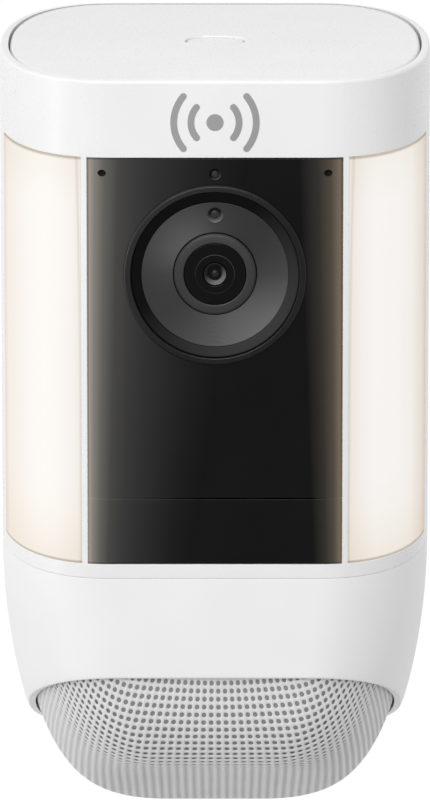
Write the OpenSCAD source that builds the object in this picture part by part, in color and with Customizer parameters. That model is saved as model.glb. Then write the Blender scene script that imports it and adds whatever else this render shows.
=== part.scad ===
// Battery security camera with two upright light panels, a lift-off top cover and a jointed wall bracket.
// Origin: centre of the wall plate's back face. +Y points into the wall, +Z is up, and the camera looks
// along -Y.
// Most modules are drawn in the camera's own frame, where y is the distance behind the front face.

/* [Body] */
// Width of the body, side to side
body_w = 77; // [75:0.5:80]
// Depth of the body, front to back
body_d = 82; // [80:0.5:86]
// Height of the top face above the bracket's axis
top_z = 57; // [56:0.5:60]
// Wall thickness of the housing
wall = 2.4; // [2:0.1:2.6]
// Height of the seam between the housing and the skirt
seam_z = -32.3; // [-34:0.1:-32]
// Squareness of the rounded corners in plan: 2 is an ellipse
corner_n = 2.32; // [2:0.02:2.6]
// Sideways reach of each rounded corner
corner_a = 20.3; // [18:0.1:22]

/* [Front] */
// Lower edge of the windows and light panels
window_z0 = -29.7; // [-30:0.1:-29]
// Upper edge of the windows and light panels
window_z1 = 43.25; // [43:0.25:44]
// Half width of the black front panel
panel_x = 22.45; // [21.5:0.05:23]
// Width of the white strip on each side of the black panel
strip_w = 1.05; // [0.9:0.05:1.5]
// How far back the light panels reach along the sides
light_y = 25.5; // [24:0.5:25.5]
// Height of the joint between the front panel and the sensor window
sensor_top_z = -17.8; // [-19:0.1:-16]
// Height of the lens axis
lens_z = 22.4; // [21:0.1:23]
// Outer radius of the ring round the lens
bezel_r = 16.05; // [15.5:0.05:16.5]

/* [Lower body] */
// Slope of the underside, down towards the back
slant = 20.2; // [16:0.2:21]
// Height of the sloping underside where it would meet the front face
floor_z = -65.9; // [-67:0.1:-65]
// Height of the skirt's rim above the sloping underside
rim_h = 15.3; // [14.6:0.1:16]
// Thickness of the skirt
skirt_wall = 1.6; // [1.2:0.1:1.7]
// Inset of the speaker grille from the outside of the skirt
grille_inset = 1.85; // [1.8:0.05:2.2]

/* [Bracket] */
// Distance from the wall to the back of the body
wall_gap = 52; // [51:0.5:56]
// Distance from the wall to the tilt axis
tilt_y = 28; // [27:0.5:29]
// Radius of the wall plate
plate_r = 36; // [35:0.5:38]
// Thickness of the wall plate
plate_t = 5; // [5:0.5:6]
// Diameter of the circle through the four screw holes
hole_pcd = 58; // [56:1:60]
// Radius of the screw holes
hole_r = 2.3; // [2:0.1:2.6]
// Radius of the tilt pin
pin_r = 3; // [2.5:0.1:3.2]

/* [Power] */
// Width of one battery pack
pack_w = 23.6; // [22:0.2:23.6]
// Depth of one battery pack
pack_d = 41; // [39:0.5:41]
// Height of one battery pack
pack_h = 68; // [64:0.5:68]

/* [Hidden] */
$fn = 64;
steps = 12;                       // segments in each rounded corner of the plan
run_gap = 0.05;                   // radial clearance of a running shaft
move_gap = 0.3;                   // space between pieces that move past each other
fit_gap = 0.12;                   // line between pieces of the front
half_w = body_w / 2;
half_d = body_d / 2;
straight_x = half_w - corner_a;   // half length of the straight front of the plan
side_drop = 20.5;                 // how far the underside's edge comes in from each side
side_rise = 55.8;                 // height over which the sides come in
side_n = 2.48;                    // exponent of that curve
fore_drop = 12;                   // how far the underside's edge comes in from front and back
fore_rise = 14.5;
fore_n = 2.75;                    // exponent of that curve
grille_lip = 3;                   // height of the grille that is hidden inside the skirt
grille_t = 1.2;
bowl_rings = 9;
skirt_rings = 7;
strip_x = panel_x + strip_w;
skin_t = 1.8;                     // thickness of the front panel and the windows
diffuser_t = 2;
cover_t = 2.8;                    // thickness of the top cover's plate
cover_z = top_z - cover_t;
ledge_w = 1.5;                    // width of the housing's rim round the top cover
cover_inset = ledge_w + move_gap;
button_r = 5.1;
plug_r = 3.4;
plug_z = -20;
pack_gap = 0.4;
bay_wall = 1.2;
divider_t = 1.2;
bay_x = divider_t / 2 + pack_w + 2 * pack_gap;   // half width of the battery bay, inside
bay_y0 = 32.6;
bay_y1 = bay_y0 + pack_d + 2 * pack_gap;
bay_top = 48.2;
pack_top = 47;
pack_z0 = pack_top - pack_h;
bay_floor = pack_z0 - 0.8;
spindle_r = 6;
spigot_r = 7;
hub_y = body_d + 2.6;             // back of the hub on the rear cover
knuckle_x = 6.7;                  // half width of the arm's knuckle
ear_x0 = 7.8;
ear_x1 = 12.6;
ear_r = 9;
speaker_r = 24;
speaker_h = 16;                   // height of the speaker's front above the sloping underside
baffle_inset = 2.6;
baffle_narrow = 0.92;
baffle_shift = 1.4;               // keeps the sloping baffle clear of the skirt's back
mic_x = 19.8;
mic_z = 40.4;
light_z = 40.3;                   // height of the status light
emitter_up = 10.65;               // height of the infrared emitter above the lens axis
shelf_t = 1.2;                    // shelves above and below the light panels
base_t = window_z0 - shelf_t - seam_z;
filter_half = 3.4;
led_count = 10;
led_x = 31;
far = 50;                         // past the widest part of the body
screw_r = 1.25;
screw_head_r = 2.1;
rear_x = 17;                      // half width of the rear cover's plate
rear_z0 = -25.5;
rear_z1 = 45.5;
board_t = 1.2;
board_y = 28.4;                   // front of the main board
setup_x = 14;                     // place of the setup key
setup_y = 20;
latch_z0 = 48.9;                  // underside of the latch plate
latch_z1 = 49.7;
post_x = 9.5;                     // places of the latch plate's posts
post_y = 6.5;
flange_r = 6.2;                   // flange of the release key
bolt_half = 3;                    // half width of a latch bolt
bolt_z0 = 50.9;
bolt_z1 = 53.5;
bolt_gap = 0.4;
barrel_y0 = 3.8;                  // front of the lens barrel
barrel_y1 = 14;
glass_r = 5.4;
lens_ring_r = 7.2;

// ---------- basic shapes ----------

module block(x0, x1, y0, y1, z0, z1) {
    translate([x0, y0, z0]) cube([x1 - x0, y1 - y0, z1 - z0]);
}

module xcyl(r, x0, x1, y = 0, z = 0) {
    translate([x0, y, z]) rotate([0, 90, 0]) cylinder(r = r, h = x1 - x0);
}

module ycyl(r, y0, y1, x = 0, z = 0) {
    translate([x, y1, z]) rotate([90, 0, 0]) cylinder(r = r, h = y1 - y0);
}

module zcyl(r, z0, z1, x = 0, y = 0) {
    translate([x, y, z0]) cylinder(r = r, h = z1 - z0);
}

// A turned piece about a line along Y, from points [radius, y]
module yturn(points, x = 0, z = 0) {
    translate([x, 0, z]) rotate([90, 0, 0]) rotate_extrude() polygon([for (p = points) [p[0], -p[1]]]);
}

// A turned piece about a line along Z, from points [radius, z]
module zturn(points, x = 0, y = 0) {
    translate([x, y, 0]) rotate_extrude() polygon(points);
}

module at_camera() {
    translate([0, -(wall_gap + body_d), 0]) children();
}

module both_sides() {
    children();
    mirror([1, 0, 0]) children();
}

// ---------- plan of the body ----------

// Signs and angle of each point of the plan, anticlockwise from the front right
plan_keys = concat(
    [for (k = [0:steps]) [1, -1, 90 * k / steps]],
    [for (k = [1:steps]) [1, 1, 90 - 90 * k / steps]],
    [for (k = [0:steps]) [-1, 1, 90 * k / steps]],
    [for (k = [1:steps]) [-1, -1, 90 - 90 * k / steps]]);
plan_n = len(plan_keys);

// One point of the plan, drawn in by inset, about the body's centre
function plan_point(key, inset) =
    [key[0] * (straight_x + (corner_a - inset) * pow(sin(key[2]), 2 / corner_n)),
     key[1] * (half_d - inset) * pow(cos(key[2]), 2 / corner_n)];

module plan_block(inset, z0, z1) {
    translate([0, half_d, z0]) linear_extrude(z1 - z0)
        polygon([for (key = plan_keys) plan_point(key, inset)]);
}

module plan_ring(inset0, inset1, z0, z1) {
    difference() {
        plan_block(inset0, z0, z1);
        plan_block(inset1, z0 - 1, z1 + 1);
    }
}

// The part of a ring of the plan between two x positions, at the front of the body
module front_skin(t, x0, x1, z0, z1) {
    intersection() {
        plan_ring(0, t, z0, z1);
        block(x0, x1, -1, light_y - fit_gap, z0 - 1, z1 + 1);
    }
}

// A skin as wide as the black front, with a fine gap all round
module black_skin(z0, z1) {
    front_skin(skin_t, -panel_x + fit_gap, panel_x - fit_gap, z0 + fit_gap, z1 - fit_gap);
}

// ---------- lower body ----------

function underside_z(y) = floor_z - y * tan(slant);

// Half width and half depth of the lower body at height h above the sloping underside
function side_half(h) =
    half_w - side_drop * (1 - pow(1 - pow(max(0, 1 - h / side_rise), side_n), 1 / side_n));
function fore_half(h) =
    half_d - fore_drop * (1 - pow(1 - pow(max(0, 1 - h / fore_rise), fore_n), 1 / fore_n));

// A ring of the bowl at height h above the underside, raised by lift for an inner face
function bowl_ring(h, inset, lift = 0) = [for (key = plan_keys)
    let (p = plan_point(key, 0),
         y = half_d + p[1] * (fore_half(h) - inset) / half_d)
    [p[0] * (side_half(h) - inset) / half_w, y, underside_z(y) + h + lift]];

// A ring of the skirt: t runs from 0 at the seam to 1 at the rim
function skirt_ring(t, inset) = [for (key = plan_keys)
    let (p = plan_point(key, 0),
         y = half_d + p[1],
         z = seam_z + (underside_z(y) + rim_h - seam_z) * t,
         narrow = (1 - side_half(z - underside_z(y)) / half_w) * (1 - pow(1 - t, 3)),
         q = plan_point(key, inset))
    [q[0] * (1 - narrow), half_d + q[1], z]];

function flat_ring(inset, z) = [for (key = plan_keys)
    let (q = plan_point(key, inset)) [q[0], half_d + q[1], z]];

// Skin over a list of rings. A loop joins the last ring to the first; otherwise both ends are capped.
module loft(rings, loop) {
    m = len(rings);
    n = plan_n;
    spans = loop ? m : m - 1;
    sides = [for (j = [0:spans - 1], k = [0:n - 1], half = [0:1])
        let (a = j * n + k, b = j * n + (k + 1) % n,
             c = ((j + 1) % m) * n + (k + 1) % n, d = ((j + 1) % m) * n + k)
        half == 0 ? [a, b, c] : [a, c, d]];
    caps = loop ? [] : [[for (k = [n - 1:-1:0]) k], [for (k = [0:n - 1]) (m - 1) * n + k]];
    polyhedron(points = [for (r = rings) each r], faces = concat(sides, caps), convexity = 6);
}

module skirt_shell() {
    flange_z = seam_z - 2;
    outer = [for (k = [0:skirt_rings]) skirt_ring(k / skirt_rings, 0)];
    inner = [for (k = [skirt_rings:-1:1]) skirt_ring(k / skirt_rings, skirt_wall)];
    flange = [flat_ring(skirt_wall, flange_z), flat_ring(6.5, flange_z), flat_ring(6.5, seam_z)];
    loft(concat(outer, inner, flange), true);
}

module bowl_shell() {
    top_h = rim_h + grille_lip;
    heights = [for (k = [0:bowl_rings]) top_h * (1 - cos(90 * k / bowl_rings))];
    inner = [for (h = heights) bowl_ring(h * (1 - grille_t / top_h), grille_inset + grille_t, grille_t)];
    outer = [for (k = [bowl_rings:-1:0]) bowl_ring(heights[k], grille_inset)];
    loft(concat(inner, outer), false);
}

// Frame of the speaker: z = 0 at its front, square to the sloping underside, with -z facing out
module at_speaker(rise = 0) {
    translate([0, half_d, underside_z(half_d) + speaker_h / cos(slant)])
        rotate([-slant, 0, 0]) translate([0, 0, rise]) children();
}

module at_speaker_screws() {
    for (a = [45:90:315]) rotate([0, 0, a]) translate([speaker_r - 1.9, 0, 0]) children();
}

module at_skirt_screws() {
    for (x = [-29, 29], y = [30.2, 59]) translate([x, y, seam_z]) children();
}

module at_rear_screws() {
    for (x = [2.4 - rear_x, rear_x - 2.4], z = [rear_z0 + 3, rear_z1 - 3])
        translate([x, body_d, z]) children();
}

// ---------- wall bracket ----------

module wall_plate() {
    color("white") difference() {
        yturn([[0, 0], [plate_r, 0], [plate_r, -plate_t + 1.2], [plate_r - 1.2, -plate_t], [0, -plate_t]]);
        ycyl(spindle_r + run_gap, -plate_t - 1, 1);
        ycyl(10.3, -2.2, 1);
        for (a = [45:90:315])
            ycyl(hole_r, -plate_t - 1, 1, hole_pcd / 2 * cos(a), hole_pcd / 2 * sin(a));
    }
}

module swivel_base() {
    disc_y = -plate_t - move_gap;
    color("white") difference() {
        union() {
            ycyl(spindle_r, disc_y - 1, -0.3);
            yturn([[0, disc_y], [21, disc_y], [21, disc_y - 3], [18, disc_y - 6], [0, disc_y - 6]]);
            both_sides() {
                block(ear_x0, ear_x1, -tilt_y, disc_y - 5, -ear_r, ear_r);
                xcyl(ear_r, ear_x0, ear_x1, -tilt_y);
            }
        }
        xcyl(pin_r, -20, 20, -tilt_y);
    }
}

module swivel_ring() {
    color("dimgray") yturn([[spindle_r, -1.9], [9.8, -1.9], [9.8, -0.3], [spindle_r, -0.3]]);
}

module tilt_pin() {
    color("silver") {
        xcyl(5.5, -ear_x1 - 3, -ear_x1, -tilt_y);
        xcyl(pin_r, -ear_x1, 20, -tilt_y);
    }
}

module tilt_washers() {
    color("dimgray") both_sides() difference() {
        xcyl(8, knuckle_x + move_gap, ear_x0, -tilt_y);
        xcyl(pin_r + run_gap, 0, 20, -tilt_y);
    }
}

module tilt_knob() {
    knob_x = ear_x1 + move_gap;
    color("white") difference() {
        union() {
            xcyl(8.5, knob_x, knob_x + 8, -tilt_y);
            xcyl(7.4, knob_x + 8, knob_x + 9.2, -tilt_y);
        }
        xcyl(pin_r + run_gap, knob_x - 1, 20.3, -tilt_y);
        for (a = [0:45:315]) xcyl(1.5, knob_x - 1, knob_x + 10, -tilt_y + 9.3 * cos(a), 9.3 * sin(a));
    }
}

module arm() {
    flange_y = hub_y + move_gap;
    knuckle_y = wall_gap + body_d - tilt_y;
    color("white") at_camera() difference() {
        union() {
            ycyl(spigot_r, 76.4, flange_y + 1);
            yturn([[0, flange_y], [13, flange_y], [13, flange_y + 1.6], [9, flange_y + 4],
                [0, flange_y + 4]]);
            ycyl(6.2, flange_y + 3, knuckle_y - 5);
            xcyl(8.5, -knuckle_x, knuckle_x, knuckle_y);
        }
        xcyl(pin_r + run_gap, -20, 20, knuckle_y);
    }
}

module spigot_nut() {
    color("silver") at_camera() yturn([[spigot_r, 76.6], [10.4, 76.6], [10.4, 79.3], [spigot_r, 79.3]]);
}

// ---------- housing ----------

module housing() {
    pad_y = body_d - 4.6;
    color("white") at_camera() difference() {
        union() {
            difference() {
                plan_block(0, seam_z + fit_gap, top_z);
                plan_block(wall, seam_z - 1, cover_z - 0.3);
                plan_block(ledge_w, cover_z - 0.31, top_z + 1);
                block(-far, far, -1, light_y, window_z0, window_z1);
            }
            both_sides() intersection() {
                plan_ring(0, 3, window_z0 - 1, window_z1 + 1);
                block(panel_x, strip_x, -1, 10, window_z0 - 1, window_z1 + 1);
            }
            intersection() {
                plan_block(wall - 0.1, window_z0 - shelf_t, window_z1 + shelf_t);
                union() {
                    block(-far, far, 0, light_y, window_z1, window_z1 + 2);
                    block(-far, far, 0, light_y, window_z0 - 2, window_z0);
                }
            }
            block(-rear_x - 1, rear_x + 1, pad_y, body_d - wall + 0.1, rear_z0 - 1.5, rear_z1 + 1.5);
        }
        block(-rear_x - 0.15, rear_x + 0.15, body_d - wall, body_d + 1, rear_z0 - 0.15, rear_z1 + 0.15);
        block(-11.5, 11.5, pad_y - 1, body_d, -24.5, 41);
        at_rear_screws() ycyl(screw_r, -6, 1);
    }
}

module rear_cover() {
    color("white") at_camera() difference() {
        union() {
            block(-rear_x, rear_x, body_d - wall, body_d, rear_z0, rear_z1);
            ycyl(12, body_d - 1, hub_y);
        }
        ycyl(spigot_r + run_gap, body_d - 5, hub_y + 1);
        ycyl(plug_r + move_gap, body_d - 5, body_d + 1, 0, plug_z);
        at_rear_screws() {
            ycyl(screw_r, -5, 1);
            ycyl(screw_head_r + 0.1, -1.3, 1);
        }
    }
}

module screw() {
    zcyl(screw_head_r, 0, 1.2);
    zcyl(screw_r, -3, 0.1);
}

module case_screws() {
    color("silver") at_camera() {
        at_rear_screws() translate([0, -1.3, 0]) rotate([-90, 0, 0]) screw();
        at_skirt_screws() translate([0, 0, base_t]) screw();
        at_speaker(4.6) at_speaker_screws() screw();
    }
}

module port_plug() {
    color("white") at_camera() {
        ycyl(plug_r, body_d - 5, body_d - 0.4, 0, plug_z);
        block(-1, 1, body_d - 0.6, body_d + 0.5, plug_z - 2.4, plug_z + 2.4);
    }
}

module base_plate() {
    color("gainsboro") at_camera() difference() {
        plan_block(wall + 0.2, seam_z, seam_z + base_t);
        at_skirt_screws() zcyl(screw_r, -1, 3);
        block(-8, 8, 34, 48, seam_z - 1, seam_z + 3);
    }
}

module skirt() {
    color("white") at_camera() difference() {
        skirt_shell();
        at_skirt_screws() zcyl(screw_r, -3, 1);
    }
}

// ---------- speaker ----------

module speaker_baffle() {
    color("gainsboro") at_camera() difference() {
        at_speaker(3) linear_extrude(1.6) polygon([for (key = plan_keys)
            let (p = plan_point(key, baffle_inset))
            [p[0] * baffle_narrow, (p[1] - baffle_shift) / cos(slant)]]);
        at_speaker() {
            zcyl(20.4, 0, 20);
            at_speaker_screws() zcyl(screw_r, 0, 20);
        }
    }
}

module speaker_grille() {
    color("lightgray") at_camera() bowl_shell();
}

module speaker_frame() {
    color("dimgray") at_camera() at_speaker() difference() {
        zturn([[18.2, 0], [speaker_r, 0], [speaker_r, 3], [20, 3], [20, 9], [13, 14.5], [7.4, 14.5],
            [7.4, 13.2], [12.4, 13.2], [18.2, 8.4]]);
        at_speaker_screws() zcyl(screw_r, -1, 4);
    }
}

module speaker_cone() {
    color("black") at_camera() at_speaker()
        zturn([[0, 4.4], [5.2, 4.4], [16.9, 1.2], [17.7, 1.2], [17.7, 2], [17.1, 2], [6.2, 5.6],
            [6.2, 15.6], [5.2, 15.6], [5.2, 5.4], [0, 5.4]]);
}

module speaker_magnet() {
    color("silver") at_camera() at_speaker()
        zturn([[0, 6.2], [4.6, 6.2], [4.6, 19.2], [6.8, 19.2], [6.8, 14.5], [12, 14.5], [12, 21.2],
            [0, 21.2]]);
}

// ---------- lights ----------

module light_diffuser() {
    front_skin(diffuser_t, strip_x + fit_gap, far, window_z0 + fit_gap, window_z1 - fit_gap);
}

module light_diffuser_left() {
    color("cornsilk") at_camera() mirror([1, 0, 0]) light_diffuser();
}

module light_diffuser_right() {
    color("cornsilk") at_camera() light_diffuser();
}

// White tray behind a diffuser: open to the front, with a flat back that holds the lamp board
module reflector() {
    difference() {
        intersection() {
            plan_block(diffuser_t + 0.5, window_z0 + 0.3, window_z1 - 0.3);
            block(strip_x + 0.3, far, 3.2, light_y - 0.3, window_z0, window_z1);
        }
        intersection() {
            plan_block(diffuser_t + 0.4, window_z0 + 1.5, window_z1 - 1.5);
            block(strip_x + 1.5, far, 0, light_y - 1.5, window_z0, window_z1);
        }
    }
}

module reflector_left() {
    color("white") at_camera() mirror([1, 0, 0]) reflector();
}

module reflector_right() {
    color("white") at_camera() reflector();
}

module led_boards() {
    back_y = light_y - 1.5;
    color("seagreen") at_camera() both_sides()
        block(led_x - 4, led_x + 3.6, back_y - board_t, back_y, window_z0 + 4, window_z1 - 4);
}

module leds() {
    lamp_w = 3;
    lamp_t = 0.8;
    lamp_y = light_y - 1.5 - board_t;
    span = window_z1 - window_z0 - 16;
    color("khaki") at_camera() both_sides() for (k = [0:led_count - 1])
        translate([led_x - 1.6, lamp_y - lamp_t, window_z0 + 6.5 + span * k / (led_count - 1)])
            cube([lamp_w, lamp_t, lamp_w]);
}

// ---------- front and camera module ----------

module front_panel() {
    color("black") at_camera() difference() {
        black_skin(sensor_top_z, window_z1);
        ycyl(bezel_r + 0.05, -1, 5, 0, lens_z);
        for (x = [-mic_x, mic_x]) ycyl(0.7, -1, 5, x, mic_z);
        ycyl(1.05, -1, 5, 0, light_z);
    }
}

module sensor_window() {
    color("black") at_camera() black_skin(window_z0, sensor_top_z);
}

module bezel_ring() {
    r = bezel_r;
    color("black") at_camera() yturn([[r - 1.2, -0.35], [r - 0.9, -0.55], [r - 0.3, -0.5], [r, -0.2],
        [r, 2], [r + 0.5, 2], [r + 0.5, 3], [r - 2.8, 3], [r - 2.8, 0.6]], 0, lens_z);
}

module lens_cone() {
    color("dimgray") at_camera() difference() {
        yturn([[7.35, 1.2], [12.9, 0.3], [13.2, 0.7], [13.2, 3], [7.35, 3.6]], 0, lens_z);
        ycyl(1.35, 0, 5, 0, lens_z + emitter_up);
    }
}

module lens_ring() {
    inner_r = glass_r + 0.1;
    color("dimgray") at_camera()
        yturn([[inner_r, 0.6], [lens_ring_r, 0.8], [lens_ring_r, 5], [inner_r, 5]], 0, lens_z);
}

module front_lens() {
    dome_r = 14;
    color("black") at_camera() intersection() {
        translate([0, 0.5 + dome_r, lens_z]) sphere(r = dome_r, $fn = 96);
        ycyl(glass_r, 0, 3.6, 0, lens_z);
    }
}

module lens_barrel() {
    color("black") at_camera() yturn([[2.2, barrel_y0], [glass_r, barrel_y0], [glass_r, 5],
        [lens_ring_r, 5], [lens_ring_r, barrel_y1], [4.8, barrel_y1], [4.8, 5.6], [2.2, 5.6]], 0, lens_z);
}

module inner_lenses() {
    color("lightblue") at_camera() {
        yturn([[0, 6], [4.7, 6.6], [4.7, 8], [0, 8]], 0, lens_z);
        yturn([[0, 10], [4.7, 10], [4.7, 11], [0, 12.4]], 0, lens_z);
    }
}

module filter_holder() {
    color("black") at_camera() difference() {
        block(-10.8, 10.8, barrel_y1, 18.8, lens_z - 7, lens_z + 7);
        block(-10.3, 10.3, 15.4, 17.1, lens_z - 4.2, lens_z + 4.2);
        ycyl(3, 13, 20, 0, lens_z);
    }
}

// Rests over the light path, and slides clear of it at night
module ir_filter() {
    color("lightcyan") at_camera() block(-filter_half, filter_half, 15.8, 16.7, lens_z - 3.8, lens_z + 3.8);
}

module image_sensor() {
    color("black") at_camera() block(-4, 4, 18.9, 20, lens_z - 3.2, lens_z + 3.2);
}

module sensor_board() {
    color("seagreen") at_camera() block(-12, 12, 20, 20 + board_t, lens_z - 12, lens_z + 12);
}

module ir_emitter() {
    z = lens_z + emitter_up;
    color("indigo") at_camera() {
        ycyl(0.7, 0.8, 2.2, 0, z);
        ycyl(1.25, 2.2, 4.4, 0, z);
    }
}

module status_light() {
    color("gray") at_camera() {
        ycyl(0.95, 0.15, 3.2, 0, light_z);
        ycyl(1.6, 3.2, 4.5, 0, light_z);
    }
}

module mic_gaskets() {
    color("black") at_camera() for (x = [-mic_x, mic_x])
        yturn([[0.75, 2.3], [1.9, 2.3], [1.9, 4.6], [0.75, 4.6]], x, mic_z);
}

module mic_board() {
    color("seagreen") at_camera() block(-22, 22, 4.6, 4.6 + board_t, mic_z - 1.9, mic_z + 1.9);
}

module radar_board() {
    color("seagreen") at_camera() {
        block(-18, 18, 6, 6 + board_t, -15, 1);
        for (x = [-11, -3.5, 4]) block(x, x + 6.5, 5.9, 6, -12, -5.5);
    }
}

module motion_sensor() {
    z = (window_z0 + sensor_top_z) / 2;
    color("goldenrod") at_camera() {
        yturn([[0, 4.4], [4.2, 4.4], [4.2, 7.4], [4.8, 7.4], [4.8, 8.2], [0, 8.2]], 0, z);
        block(-12, 12, 8.2, 8.2 + board_t, z - 5.2, z + 5.2);
    }
}

// ---------- electronics ----------

module chassis() {
    color("gainsboro") at_camera() difference() {
        block(-33.5, 33.5, 25.8, 27.8, -30, 44);
        for (x = [-22, 22], z = [-22, 36]) ycyl(1.5, 20, 30, x, z);
    }
}

module main_board() {
    color("seagreen") at_camera() block(-29, 29, board_y, board_y + 1.4, -22, 42);
}

module board_shields() {
    color("silver") at_camera() {
        translate([0, board_y + 1.4, 0]) {
            block(-22, -2, 0, 1.2, 14, 34);
            block(3, 21, 0, 1.2, 4, 34);
            block(-20, 8, 0, 1.2, -16, 2);
        }
    }
}

module wifi_antennas() {
    color("goldenrod") at_camera() both_sides() block(30.2, 33.4, board_y, board_y + 0.8, -6, 30);
}

module battery_bay() {
    out_x = bay_x + bay_wall;
    color("gainsboro") at_camera() difference() {
        block(-out_x, out_x, bay_y0 - bay_wall, bay_y1 + bay_wall, bay_floor - bay_wall, bay_top);
        both_sides() block(divider_t / 2, bay_x, bay_y0, bay_y1, bay_floor, bay_top + 1);
    }
}

module bay_contacts() {
    color("gold") at_camera() both_sides() for (k = [0:2])
        block(6 + 4.6 * k, 8.4 + 4.6 * k, 50, 58, bay_floor, pack_z0 - move_gap);
}

module bay_seal() {
    out_x = bay_x + bay_wall;
    color("dimgray") at_camera() difference() {
        block(-out_x, out_x, bay_y0 - bay_wall, bay_y1 + bay_wall, bay_top, bay_top + 1);
        block(-bay_x, bay_x, bay_y0, bay_y1, bay_top - 1, bay_top + 2);
    }
}

module top_deck() {
    color("gainsboro") at_camera() difference() {
        intersection() {
            plan_block(wall + 0.1, 46.4, 48);
            block(-far, far, 0, bay_y0 - bay_wall - 0.1, 40, 50);
        }
        zcyl(2.9, 40, 50, setup_x, setup_y);
    }
}

module setup_button() {
    color("orange") at_camera() zcyl(2.6, 45.8, 49.4, setup_x, setup_y);
}

// ---------- top cover, latch and batteries ----------

module top_cover() {
    skirt_x = bay_x + bay_wall;
    color("white") at_camera() {
        difference() {
            plan_block(cover_inset, cover_z, top_z);
            zcyl(button_r + 0.25, cover_z - 1, top_z + 1, 0, half_d);
        }
        difference() {
            block(-skirt_x, skirt_x, bay_y0 - bay_wall, bay_y1 + bay_wall, bay_top + 1.4, cover_z);
            block(-bay_x, bay_x, bay_y0, bay_y1, bay_top, cover_z + 0.01);
            both_sides() block(20, 40, half_d - bolt_half - bolt_gap, half_d + bolt_half + bolt_gap,
                bolt_z0 - bolt_gap, bolt_z1 + bolt_gap);
        }
        both_sides() for (side = [-1, 1])
            translate([13, half_d + side * (bolt_half + bolt_gap + 1) - 1, bolt_z0 - bolt_gap])
                cube([9, 2, cover_z - bolt_z0 + bolt_gap]);
    }
}

module latch_plate() {
    color("silver") at_camera() difference() {
        block(-12, 12, half_d - 8, half_d + 8, latch_z0, latch_z1);
        for (x = [-post_x, post_x], y = [-post_y, post_y]) zcyl(1, 48, 51, x, half_d + y);
    }
    color("silver") at_camera() for (x = [-post_x, post_x], y = [-post_y, post_y])
        zcyl(1, latch_z0, cover_z, x, half_d + y);
}

module release_button() {
    flange_z = cover_z - move_gap;
    color("white") at_camera()
        zturn([[0, flange_z - 1.2], [flange_r, flange_z - 1.2], [flange_r, flange_z], [button_r, flange_z],
            [button_r, top_z - 0.5], [button_r - 0.4, top_z - 0.1], [0, top_z - 0.1]], 0, half_d);
}

module button_spring() {
    low = latch_z1;
    high = cover_z - move_gap - 1.2;
    coil_r = 4;
    wire_r = 0.3;
    turns = 3;
    ring_n = 14;
    count = turns * ring_n;
    rise = high - low - 2 * wire_r;
    function centre(k) = let (a = 360 * k / ring_n)
        [coil_r * cos(a), coil_r * sin(a), low + wire_r + rise * k / count];
    points = [for (k = [0:count], j = [0:5]) let (a = 360 * k / ring_n, b = 60 * j, c = centre(k))
        [c[0] + wire_r * cos(b) * cos(a), c[1] + wire_r * cos(b) * sin(a), c[2] + wire_r * sin(b)]];
    sides = [for (k = [0:count - 1], j = [0:5], half = [0:1])
        let (p = k * 6 + j, q = k * 6 + (j + 1) % 6)
        half == 0 ? [p, q, q + 6] : [p, q + 6, p + 6]];
    caps = [[for (j = [5:-1:0]) j], [for (j = [0:5]) count * 6 + j]];
    color("silver") at_camera() translate([0, half_d, 0]) polyhedron(points, concat(sides, caps));
}

module latch_bolt() {
    tip_x = half_w - wall - move_gap;
    difference() {
        block(9, tip_x, half_d - bolt_half, half_d + bolt_half, bolt_z0, bolt_z1);
        block(8, 20, half_d - 1.2, half_d + 1.2, 50, 55);
    }
}

module latch_bolt_left() {
    color("dimgray") at_camera() mirror([1, 0, 0]) latch_bolt();
}

module latch_bolt_right() {
    color("dimgray") at_camera() latch_bolt();
}

module battery() {
    x0 = divider_t / 2 + pack_gap;
    x1 = x0 + pack_w;
    y0 = bay_y0 + pack_gap;
    y1 = y0 + pack_d;
    cut = 2.5;
    translate([0, 0, pack_z0]) linear_extrude(pack_h - 3)
        polygon([[x0 + cut, y0], [x1 - cut, y0], [x1, y0 + cut], [x1, y1 - cut], [x1 - cut, y1],
            [x0 + cut, y1], [x0, y1 - cut], [x0, y0 + cut]]);
    block(x0 + 1.5, x1 - 1.5, y0 + 3, y1 - 3, pack_top - 3, pack_top - 1.6);
    block(x0 + 5, x1 - 5, half_d + 9, half_d + 18, pack_top - 1.6, pack_top);
}

module battery_left() {
    color("darkslategray") at_camera() mirror([1, 0, 0]) battery();
}

module battery_right() {
    color("darkslategray") at_camera() battery();
}

wall_plate();
swivel_base();
swivel_ring();
tilt_pin();
tilt_washers();
tilt_knob();
arm();
spigot_nut();
housing();
rear_cover();
case_screws();
port_plug();
skirt();
base_plate();
speaker_baffle();
speaker_grille();
speaker_frame();
speaker_cone();
speaker_magnet();
front_panel();
sensor_window();
light_diffuser_left();
light_diffuser_right();
reflector_left();
reflector_right();
led_boards();
leds();
bezel_ring();
lens_cone();
lens_ring();
front_lens();
lens_barrel();
inner_lenses();
filter_holder();
ir_filter();
image_sensor();
sensor_board();
ir_emitter();
status_light();
mic_gaskets();
mic_board();
radar_board();
motion_sensor();
chassis();
main_board();
board_shields();
wifi_antennas();
battery_bay();
bay_contacts();
bay_seal();
top_deck();
setup_button();
top_cover();
latch_plate();
release_button();
button_spring();
latch_bolt_left();
latch_bolt_right();
battery_left();
battery_right();
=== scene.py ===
"""Looks of a battery security camera on its wall bracket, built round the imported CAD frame.

Sizes here are in millimetres and most shapes are drawn in the camera's own frame, where y is the
distance behind the front face. build() moves them into the row frame, in metres.
"""

import math

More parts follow.
